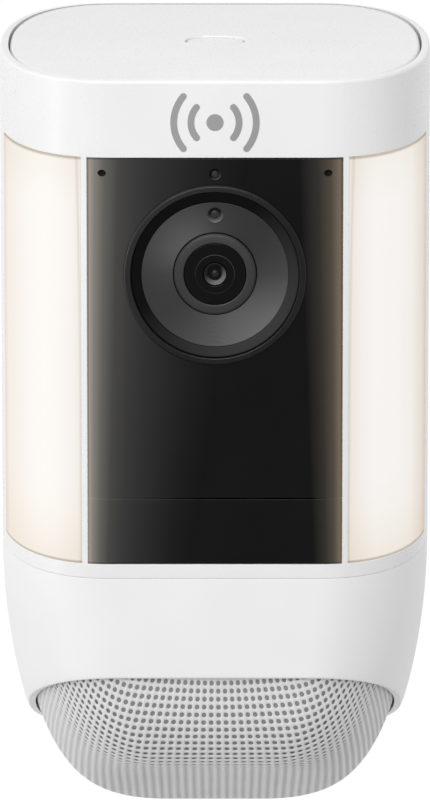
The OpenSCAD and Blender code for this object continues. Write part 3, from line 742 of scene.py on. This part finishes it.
def rear_screw_pads():
    """The frame inside the housing's back that the rear cover's screws go into."""
    y0, y1 = BODY_D - 4.6, BODY_D - WALL
    x0, x1 = 11.5, REAR_X + 0.85
    z0, z1, z2, z3 = REAR_Z0 - 1.35, REAR_Z0 + 1.15, REAR_Z1 - 4.65, REAR_Z1 + 1.35
    pads = [slab(-x1, x1, y0, y1, z0, z1), slab(-x1, x1, y0, y1, z2, z3)]
    pads += [slab(*sorted((side * x0, side * x1)), y0, y1, z1, z2) for side in (-1, 1)]
    build("rear_screw_pads", merge(*pads), "camera", WHITE, slot="white_shell")


def patch(keys, z0, z1, thickness, edge, step=0.0, step_w=0.0):
    """A skin over part of the plan, with rounded edges. step sinks a band along its first edge."""
    z_marks = [z0 + edge * s for s in SOFT_STEPS] + [z1 - edge * s for s in reversed(SOFT_STEPS)]
    run = [0.0]
    points = [plan_point(k) for k in keys]
    for a, b in zip(points, points[1:]):
        run.append(run[-1] + math.dist(a, b))
    place = dict(zip(keys, run))

    def outer(key, z):
        near = min(place[key], run[-1] - place[key])
        up = min(z - z0, z1 - z)
        a, b = max(0.0, edge - near), max(0.0, edge - up)
        fall = edge - math.sqrt(max(0.0, edge * edge - a * a - b * b))
        if step and place[key] < step_w:
            fall = max(fall, step)
        return surface(key, fall, z)

    def inner(key, z):
        return surface(key, thickness, z)

    return shell(keys, z_marks, outer, inner, closed=False)


def arc_marks(x_edge, edge, sign=1):
    """Angles of the columns that round an upright edge at x_edge."""
    return [angle_at_x(x_edge + sign * edge * s) for s in SOFT_STEPS]


def front_keys(edge):
    """Columns of the black panel, from one white strip to the other."""
    edge_x = PANEL_X - FIT_GAP
    side = merged(spread(0, angle_at_x(edge_x), 10), arc_marks(edge_x, edge, -1), 0.03)
    side = [a for a in side if a <= angle_at_x(edge_x) + 1e-9]
    return [(-1, -1, a) for a in reversed(side)] + [(1, -1, a) for a in side]


def front_panel():
    edge = 0.12
    keys = front_keys(edge)
    shape = patch(keys, SENSOR_TOP + FIT_GAP, WINDOW_Z1 - FIT_GAP, SKIN_T, edge)
    piece = build("front_panel_gloss", shape, "camera", PANEL, ["front_panel"], "black_panel")
    holes = [drill(BEZEL_R + 0.04, 0, LENS_Z, 128), drill(1.05, 0, STATUS_Z, 40)]
    holes += [drill(MIC_R, x, MIC_Z, 32) for x in (-MIC_X, MIC_X)]
    cut(piece, holes)
    weigh_normals(piece)


def sensor_window():
    edge = 0.12
    shape = patch(front_keys(edge), WINDOW_Z0 + FIT_GAP, SENSOR_TOP - FIT_GAP, SKIN_T, edge)
    weigh_normals(build("sensor_window_gloss", shape, "camera", PANEL, ["sensor_window"], "black_panel"))


def light_diffusers():
    edge, band, thick = 0.2, 0.8, 2.0
    edge_x, edge_y = STRIP_X + FIT_GAP, LIGHT_Y - FIT_GAP
    inner_angle, outer_angle = angle_at_x(edge_x), angle_at_y(edge_y)
    marks = arc_marks(edge_x, edge) + arc_marks(edge_x + band, 0.12)
    marks += [angle_at_y(edge_y - edge * s) for s in SOFT_STEPS]
    angles = [a for a in merged(spread(inner_angle, outer_angle, 24), marks, 0.015)
              if inner_angle - 1e-9 <= a <= outer_angle + 1e-9]
    for side, name in ((-1, "left"), (1, "right")):
        keys = [(side, -1, a) for a in angles]
        shape = patch(keys, WINDOW_Z0 + FIT_GAP, WINDOW_Z1 - FIT_GAP, thick, edge, 0.14, band)
        weigh_normals(build(f"light_panel_{name}", shape, "camera", LIT[name],
                            [f"light_diffuser_{name}"], "diffuser"))


# ---------- lower body ----------

def underside(y):
    return FLOOR_Z - y * SLOPE


def half_at(h, whole, drop, rise, power):
    """Half width or half depth of the lower body at height h above the sloping underside."""
    return whole - drop * (1 - (1 - max(0.0, 1 - h / rise) ** power) ** (1 / power))


def side_half(h):
    return half_at(h, HALF_W, SIDE_DROP, SIDE_RISE, SIDE_N)


def fore_half(h):
    return half_at(h, HALF_D, FORE_DROP, FORE_RISE, FORE_N)


def bowl_point(key, h, inset, lift=0.0):
    px, py = plan_point(key)
    y = HALF_D + py * (fore_half(h) - inset) / HALF_D
    return px * (side_half(h) - inset) / HALF_W, y, underside(y) + h + lift


def skirt_point(key, t, inset, lift):
    px, py = plan_point(key)
    y = HALF_D + py
    z = SEAM_Z + (underside(y) + RIM_H - SEAM_Z) * t
    narrow = (1 - side_half(z - underside(y)) / HALF_W) * (1 - (1 - t) ** 3)
    qx, qy = plan_point(key, inset)
    return qx * (1 - narrow), qy + HALF_D, z + lift


def skirt():
    edge, rim = 0.12, 0.45
    rows = [(0, dent(edge * s, edge), -edge * s) for s in SOFT_STEPS]
    rows += [(t, 0, 0) for t in spread(0.08, 0.96, 22)]
    rows += [(1, rim - rim * math.cos(a), rim - rim * math.sin(a)) for a in spread(0, math.pi / 2, 4)]

    def outer(key, row):
        return skirt_point(key, *row)

    def inner(key, row):
        return skirt_point(key, row[0], SKIRT_WALL, 0 if row[0] else row[2])

    shape = shell(ring_keys(), rows, outer, inner)
    weigh_normals(build("skirt_shell", shape, "camera", WHITE_SKIRT, ["skirt"], "white_shell"))


def grille_map():
    """Points of the dish on a table of directions and of distances along it from the pattern's centre.

    Each direction's path lies in one upright plane through the pattern's centre.
    """
    turn_count, layer_count, reach, reach_count = 240, 80, 0.25, 300
    turns = np.linspace(-math.pi, math.pi, turn_count, endpoint=False)
    top = RIM_H + GRILLE_LIP
    flat = [(x, end * HALF_D) for x in spread(-STRAIGHT_X, STRAIGHT_X, 40) for end in (-1, 1)]
    plan = np.array([plan_point(k) for k in ring_keys(steps=120)] + flat)
    layers = [np.tile((0, HALF_D, underside(HALF_D) + DISH_LIFT), (turn_count, 1))]
    for h in [top * (k / layer_count) ** 2 for k in range(layer_count + 1)]:
        x = plan[:, 0] * (side_half(h) - GRILLE_INSET) / HALF_W
        y = plan[:, 1] * (fore_half(h) - GRILLE_INSET) / HALF_D
        around = np.arctan2(y, x)
        order = np.argsort(around)
        radius = np.interp(turns, around[order], np.hypot(x, y)[order], period=2 * math.pi)
        ys = HALF_D + radius * np.sin(turns)
        layers.append(np.stack([radius * np.cos(turns), ys, underside(ys) + h + DISH_LIFT], axis=1))
    paths = np.array(layers).transpose(1, 0, 2)
    steps = np.arange(reach_count) * reach
    rows, limits = [], []
    for path in paths:
        run = np.concatenate([[0], np.cumsum(np.linalg.norm(np.diff(path, axis=0), axis=1))])
        rows.append(np.stack([np.interp(steps, run, path[:, a]) for a in range(3)], axis=1))
        limits.append(run[-1])
    directions = np.arctan2(np.sin(turns) * math.sqrt(1 + SLOPE * SLOPE), np.cos(turns))
    return directions, np.array(rows), np.array(limits), reach


def speaker_grille():
    """The perforated dish. A flat square pattern of holes is laid over it from one point outwards."""
    angles, rows, limits, reach = grille_map()
    wide = np.concatenate([angles[-1:] - 2 * math.pi, angles, angles[:1] + 2 * math.pi])
    around = np.concatenate([rows[-1:], rows, rows[:1]])
    limit = np.concatenate([limits[-1:], limits, limits[:1]])

    def on_dish(flat):
        """Points of the dish for flat points, as an array, and how far each is inside the dish's edge."""
        direction = np.arctan2(flat[:, 1], flat[:, 0])
        distance = np.linalg.norm(flat, axis=1)
        column = np.clip(np.searchsorted(wide, direction) - 1, 0, len(wide) - 2)
        share = (direction - wide[column]) / (wide[column + 1] - wide[column])
        step = np.clip(distance / reach, 0, rows.shape[1] - 1.001)
        whole = step.astype(int)
        part = (step - whole)[:, None]

        def along(index):
            return around[index, whole] * (1 - part) + around[index, whole + 1] * part

        share = share[:, None]
        edge = limit[column] * (1 - share[:, 0]) + limit[column + 1] * share[:, 0]
        return along(column) * (1 - share) + along(column + 1) * share, edge - distance

    half_cells, before, sides = 36, 4, 8
    size = 2 * half_cells
    corner = np.array([(HOLE_PITCH * (i - half_cells), HOLE_PITCH * (j - before - 0.5) - FIRST_ROW)
                       for j in range(size + before) for i in range(size)])
    inside = on_dish(corner)[1].reshape(-1, size) > 0
    verts, faces, names = [], [], {}

    def vertex(x, y):
        name = (round(x * 1000), round(y * 1000))
        if name not in names:
            names[name] = len(verts)
            verts.append((x, y))
        return names[name]

    for j in range(len(inside) - 1):
        for i in range(size - 1):
            if not inside[j:j + 2, i:i + 2].all():
                continue
            half = HOLE_PITCH / 2
            cx, cy = corner[j * size + i] + half
            square, hole = [], []
            for k in range(sides):
                a = 2 * math.pi * k / sides
                across, along_y = math.cos(a), math.sin(a)
                stretch = half / max(abs(across), abs(along_y))
                square.append(vertex(cx + stretch * across, cy + stretch * along_y))
                hole.append(vertex(cx + HOLE_R * across, cy + HOLE_R * along_y))
            faces += [(square[k - 1], square[k], hole[k], hole[k - 1]) for k in range(sides)]
    shape = [tuple(p) for p in on_dish(np.array(verts))[0]], faces
    piece = build("speaker_grille_dish", shape, "camera", GRILLE, ["speaker_grille"], "grille_shell", 60)
    sheet = piece.modifiers.new("sheet", "SOLIDIFY")
    sheet.thickness = SHEET_T * MM
    sheet.offset = -1


def grille_liner():
    """Grey cloth close behind the holes: an open bowl with a wall of its own."""
    heights = [0.0] + [(RIM_H + GRILLE_LIP - 0.6) * (k / 16) ** 2 for k in range(1, 17)]
    keys = ring_keys(steps=24)
    face, back = GRILLE_INSET + SHEET_T + 0.04, GRILLE_INSET + SHEET_T + 0.5

    def ring(h, inset):
        return [bowl_point(k, h, inset, inset - GRILLE_INSET + DISH_LIFT) for k in keys]

    rings = [ring(h, face) for h in heights] + [ring(h, back) for h in reversed(heights)]
    n, m = len(keys), len(rings)
    ends = [tuple(range(n)), tuple(range((m - 1) * n, m * n))]
    shape = [p for r in rings for p in r], bands(n, m) + ends
    build("grille_cloth", shape, "camera", LINER, slot="black_plastic")


# ---------- top cover ----------

def top_cover():
    """The lift-off lid: a flat plate with rounded edges round the key's hole."""
    edge, hole_edge = 0.7, 0.3
    keys = ring_keys(steps=24)
    hole = BUTTON_R + 0.25
    rows = [(COVER_INSET + 0.2, COVER_Z, None), (COVER_INSET, COVER_Z + 0.2, None)]
    rows += [(COVER_INSET + edge * (1 - math.cos(a)), TOP_Z - edge + edge * math.sin(a), None)
             for a in spread(0, math.pi / 2, 5)]
    rows.append((COVER_INSET + 4, TOP_Z, None))
    rows += [(None, TOP_Z - hole_edge + hole_edge * math.sin(a), hole + hole_edge * (1 - math.cos(a)))
             for a in spread(math.pi / 2, 0, 3)]
    rows.append((None, COVER_Z, hole))

    def point(key, row):
        inset, z, radius = row
        if radius is None:
            return surface(key, inset, z)
        x, y = plan_point(key)
        a = math.atan2(y, x)
        return radius * math.cos(a), HALF_D + radius * math.sin(a), z

    verts = [point(k, r) for r in rows for k in keys]
    shape = verts, bands(len(keys), len(rows), wrapped=True)
    weigh_normals(build("top_cover_plate", shape, "cover", WHITE, ["top_cover"], "white_shell"))


def cover_frame():
    """The walls under the cover: a frame with a gap for each latch bolt, and guides beside the bolts."""
    bay_x, wall, bolt_gap, z1 = 25.8, 1.2, 3.4, COVER_Z
    y0, y1, z0 = 32.6, 74.4, 49.6
    guide_xs, guide_y, guide_half, guide_z = (13, 22), 4.4, 1, 50.5
    walls = [slab(-bay_x, bay_x, y0 - wall, y0, z0, z1), slab(-bay_x, bay_x, y1, y1 + wall, z0, z1)]
    for side in (-1, 1):
        a, b = sorted((side * (bay_x - wall), side * bay_x))
        walls += [slab(a, b, y0, HALF_D - bolt_gap, z0, z1), slab(a, b, HALF_D + bolt_gap, y1, z0, z1)]
        a, b = sorted(side * x for x in guide_xs)
        for y in (HALF_D - guide_y, HALF_D + guide_y):
            walls.append(slab(a, b, y - guide_half, y + guide_half, guide_z, z1))
    round_edges(build("cover_frame", merge(*walls), "cover", INNER_GREY, slot="inner_grey"), 0.25)


def release_button():
    """The round key in the cover, slightly dished, on a wider flange."""
    top, flange, dish = TOP_Z - 0.1, COVER_Z - 0.3, 0.12
    foot, flange_r = flange - 1.2, 6.2
    steps = [(0, foot), (flange_r, foot), (flange_r, flange), (BUTTON_R, flange), (BUTTON_R, top)]
    outline = softened(steps, 0.45)
    outline += [(r, top - dish * (1 - (r / BUTTON_R) ** 2)) for r in (4.2, 3.2, 2.2, 1.2)]
    outline.append((0, top - dish))
    weigh_normals(build("release_key", lathe(outline, (0, HALF_D, 0), "z"), "release_key", WHITE,
                        ["release_button"], "white_shell"))


def key_spring():
    """The coil spring under the key, drawn at its rest length."""
    z0, z1 = low("button_spring", "z"), high("button_spring", "z")
    wire, coil, turns, steps, sides = 0.3, 4.0, 3, 24, 10
    count = turns * steps
    verts = []
    for k in range(count + 1):
        a = 2 * math.pi * k / steps
        middle = z0 + wire + (z1 - z0 - 2 * wire) * k / count
        for j in range(sides):
            b = 2 * math.pi * j / sides
            r = coil + wire * math.cos(b)
            verts.append((r * math.cos(a), HALF_D + r * math.sin(a), middle + wire * math.sin(b)))
    ends = [tuple(range(sides)), tuple(range(count * sides, (count + 1) * sides))]
    shape = verts, bands(sides, count + 1) + ends
    piece = build("key_spring", shape, "cover", STEEL, ["button_spring"], "steel")
    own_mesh(piece)


# ---------- lens ----------

def turned(name, outline, mat, nodes=(), slot=None, radius=0.12, z=LENS_Z, segments=128):
    """A turned piece of the camera's front, about a line along y at height z, with softened corners."""
    shape = lathe(softened(outline, radius), (0, 0, z), segments=segments)
    piece = build(name, shape, "camera", mat, nodes, slot)
    weigh_normals(piece)
    return piece


def lens_surrounds():
    """The bezel ring, its inner wall and the dished surround."""
    r, back = BEZEL_R, 2.9
    wall_r, lip_r = r - 3.12, r - 1.29
    bezel = [(r - 1.27, -0.3), (r - 1.1, -0.53), (r - 0.3, -0.54), (r, -0.22), (r, 2),
             (r + BEZEL_FLANGE, 2), (r + BEZEL_FLANGE, 3), (r - 1.27, 3)]
    turned("lens_bezel", bezel, RING, ["bezel_ring"], "dark_ring", 0.08)
    wall = [(wall_r, back), (wall_r, CONE_Y - 0.05), (wall_r + 0.2, CONE_Y - 0.12), (r - 1.5, -0.05),
            (lip_r, 0.1), (lip_r, back)]
    turned("lens_bezel_wall", wall, RING_WALL, slot="dark_ring", radius=0.08)
    dish = [(7.36, CONE_Y + 0.85), (12.85, CONE_Y), (13.1, CONE_Y + 0.4), (13.1, 3), (7.36, 3.5)]
    cone = turned("lens_surround", dish, CONE, ["lens_cone"], "lens_grey", 0.1)
    cut(cone, [drill(EMITTER_R, 0, EMITTER_Z, 64)])
    weigh_normals(cone)


def lens_front():
    """The ring round the front glass, the glass with its fine line, and the cup and bead behind it."""
    ring = [(5.5, RING_Y + 0.15), (5.65, RING_Y + 0.02), (6.9, RING_Y + 0.1), (7.22, RING_Y + 0.35),
            (7.22, 5), (5.5, 5), (5.5, 2)]
    turned("lens_ring_front", ring, LENS_GREY, ["lens_ring"], "lens_grey", 0.08)
    g = GLASS_Y + 0.15
    glass = [(0, 3.6), (5.4, 3.6), (5.4, g + 0.15), (3.6, g + 0.03), (3.4, g), (2.2, g + 0.03),
             (2.1, g + 0.2), (1.35, g + 0.8), (1.2, g + 0.85), (0, g + 0.85)]
    turned("front_glass", glass, BLACK_GLASS, ["front_lens"], "lens_glass", 0.06)
    line = [(3.34, g + 0.02), (3.42, g - 0.05), (3.5, g + 0.02), (3.48, g + 0.3), (3.36, g + 0.3)]
    turned("glass_line", line, LENS_LINE, slot="lens_grey", radius=0.03)
    cup = [(1.94, g + 0.16), (1.96, g + 0.24), (1.3, g + 0.84), (1.2, g + 0.8), (1.26, g + 0.68),
           (1.86, g + 0.16)]
    turned("inner_cup", cup, CUP, slot="lens_grey", radius=0.03, segments=96)
    bead = [(0, g + 0.3), (0.4, g + 0.36), (0.68, g + 0.58), (0.74, g + 0.8), (0.74, g + 1), (0, g + 1)]
    turned("inner_bead", bead, BEAD, slot="lens_glass", radius=0.1, segments=48)


def emitter_cup():
    """The cup of the small lamp in the dished surround."""
    e, cup_r, floor_r = CONE_Y + 0.36, EMITTER_R + 0.08, 0.5
    cup = [(cup_r, e - 0.04), (cup_r, 2.6), (floor_r, 2.6), (floor_r, e + 0.95), (0.62, e + 0.85),
           (EMITTER_R - 0.1, e + 0.08)]
    turned("emitter_cup", cup, EMITTER_CUP, slot="lens_grey", radius=0.05, z=EMITTER_Z, segments=64)


def status_light():
    lens = [(0, 0.2), (0.45, 0.24), (0.68, 0.4), (0.68, 3.2), (1.6, 3.2), (1.6, 4.5), (0, 4.5)]
    turned("status_lens", lens, EMITTER, ["status_light"], "lens_grey", 0.08, STATUS_Z, 48)
    cup = [(0.72, 0.62), (1.02, 0.08), (1.03, 1.2), (0.72, 1.2)]
    turned("status_cup", cup, STATUS_CUP, slot="lens_grey", radius=0.03, z=STATUS_Z, segments=48)


def mic_cloths():
    """Fine dark cloth over the microphones, behind the panel's two small holes."""
    disc = [(0, 1.9), (1.5, 1.9), (1.5, 2.1), (0, 2.1)]
    discs = [lathe(disc, (x, 0, MIC_Z), segments=32) for x in (-MIC_X, MIC_X)]
    build("mic_cloths", merge(*discs), "camera", MIC_CLOTH, slot="black_plastic")


# ---------- mark ----------

def arc_band(radius, stroke, middle, half_angle, front, back):
    """A thin band along an arc in the front plane, with round ends."""
    half, steps, cap_steps = stroke / 2, 20, 8
    ends = [middle - half_angle, middle + half_angle]

    def arc(cx, cz, r, angles):
        return [(cx + r * math.cos(a), cz + r * math.sin(a)) for a in angles]

    def cap(end, turn):
        sweep = spread(end, end + turn * math.pi, cap_steps)[1:-1]
        return arc(radius * math.cos(end), radius * math.sin(end), half, sweep)

    points = arc(0, 0, radius + half, spread(*ends, steps)) + cap(ends[1], 1)
    points += arc(0, 0, radius - half, spread(*ends[::-1], steps)) + cap(ends[0], -1)[::-1]
    n = len(points)
    verts = [(x, y, z + MARK_Z) for y in (front, back) for x, z in points]
    return verts, bands(n, 2) + [tuple(range(n)), tuple(range(2 * n - 1, n - 1, -1))]


def cap_mark():
    """A plain signal sign, a dot between two pairs of arcs, as a thin inlay above the black panel."""
    front, back, stroke, half_angle, dot_r = -0.03, 0.4, 1.2, math.radians(40), 1.5
    arcs = [arc_band(r, stroke, middle, half_angle, front, back)
            for r in (4.2, 7.2) for middle in (0, math.pi)]
    dot = lathe([(0, front), (dot_r, front), (dot_r, back), (0, back)], (0, 0, MARK_Z), segments=48)
    build("cap_mark", merge(dot, *arcs), "camera", MARK, slot="lens_grey")


# ---------- scene ----------

def camera():
    """A long lens from far in front, looking down a little."""
    tilt, distance = math.radians(12.38), 1.405
    data = bpy.data.cameras.new("camera")
    data.lens, data.sensor_width, data.clip_end = 359.8, 36, 60
    cam = new_object("camera", data)
    back = Vector((0, -math.cos(tilt), math.sin(tilt)))
    cam.location = Vector((0, FRONT_Y * MM, 0)) + back * distance
    cam.rotation_euler = (-back).to_track_quat("-Z", "Y").to_euler()
    bpy.context.scene.camera = cam


def area_light(name, place, target, size, power):
    data = bpy.data.lights.new(name, "AREA")
    data.shape, data.size, data.size_y = "RECTANGLE", *size
    data.energy = power
    light = new_object(name, data)
    light.location = place
    light.rotation_euler = (Vector(target) - Vector(place)).to_track_quat("-Z", "Y").to_euler()
    light.visible_camera = False


def studio():
    """A pale floor, soft lamps, and white surroundings, dimmer in front, above and at the right."""
    world = bpy.data.worlds.new("studio")
    world.use_nodes = True
    bpy.context.scene.world = world
    tree = world.node_tree
    sky = tree.nodes["Background"]
    sky.inputs["Color"].default_value = (1, 1, 1, 1)
    coords = tree.nodes.new("ShaderNodeTexCoord")
    apart = tree.nodes.new("ShaderNodeSeparateXYZ")
    tree.links.new(coords.outputs["Generated"], apart.inputs["Vector"])

    def level(axis, *numbers):
        made = tree.nodes.new("ShaderNodeMapRange")
        made.interpolation_type = "SMOOTHSTEP"
        for key, value in zip(("From Min", "From Max", "To Min", "To Max"), numbers):
            made.inputs[key].default_value = value
        tree.links.new(apart.outputs[axis], made.inputs["Value"])
        return made.outputs["Result"]

    def product(a, b):
        made = tree.nodes.new("ShaderNodeMath")
        made.operation = "MULTIPLY"
        tree.links.new(a, made.inputs[0])
        tree.links.new(b, made.inputs[1])
        return made.outputs["Value"]

    across = product(level("X", 0.15, 0.95, 1.0, 0.78), level("Y", -0.8, 0.1, 0.4, 1.02))
    tree.links.new(product(across, level("Z", 0.1, 0.8, 1.0, 0.67)), sky.inputs["Strength"])

    area_light("key_left", (-1.2, -0.3, 0.0), (0, -0.1, 0), (0.14, 0.9), 1.15)
    area_light("front_top", (-0.04, -0.5, 0.42), (0, -0.13, 0.03), (0.6, 0.3), 0.55)
    area_light("cap_light", (0, -0.2, 0.22), (0, -0.12, 0.05), (0.3, 0.06), 0.042)
    area_light("front_fill", (-0.25, -1.55, 0.55), (0, -0.1, 0), (0.9, 0.5), 11.1)

    radius, drop, thick = 3600, 4000, 20
    disc = [(0, 0), (radius, 0), (radius, thick), (0, thick)]
    floor = new_object("floor", new_mesh("floor", lathe(disc, (0, -FRONT_Y, -drop), "z")))
    paint = moulded("floor", 226, 232, 0.8, grain=0.05, depth=0.2, blotch=0.004)
    floor.data.materials.append(paint)


bpy.context.scene.view_settings.view_transform = "Standard"
camera()
studio()
for finish, node_names in NODE_FINISH:
    for node_name in node_names.split():
        finish_node(node_name, finish)
housing()
rear_screw_pads()
front_panel()
sensor_window()
light_diffusers()
skirt()
speaker_grille()
grille_liner()
top_cover()
cover_frame()
release_button()
key_spring()
lens_surrounds()
lens_front()
emitter_cup()
status_light()
mic_cloths()
cap_mark()
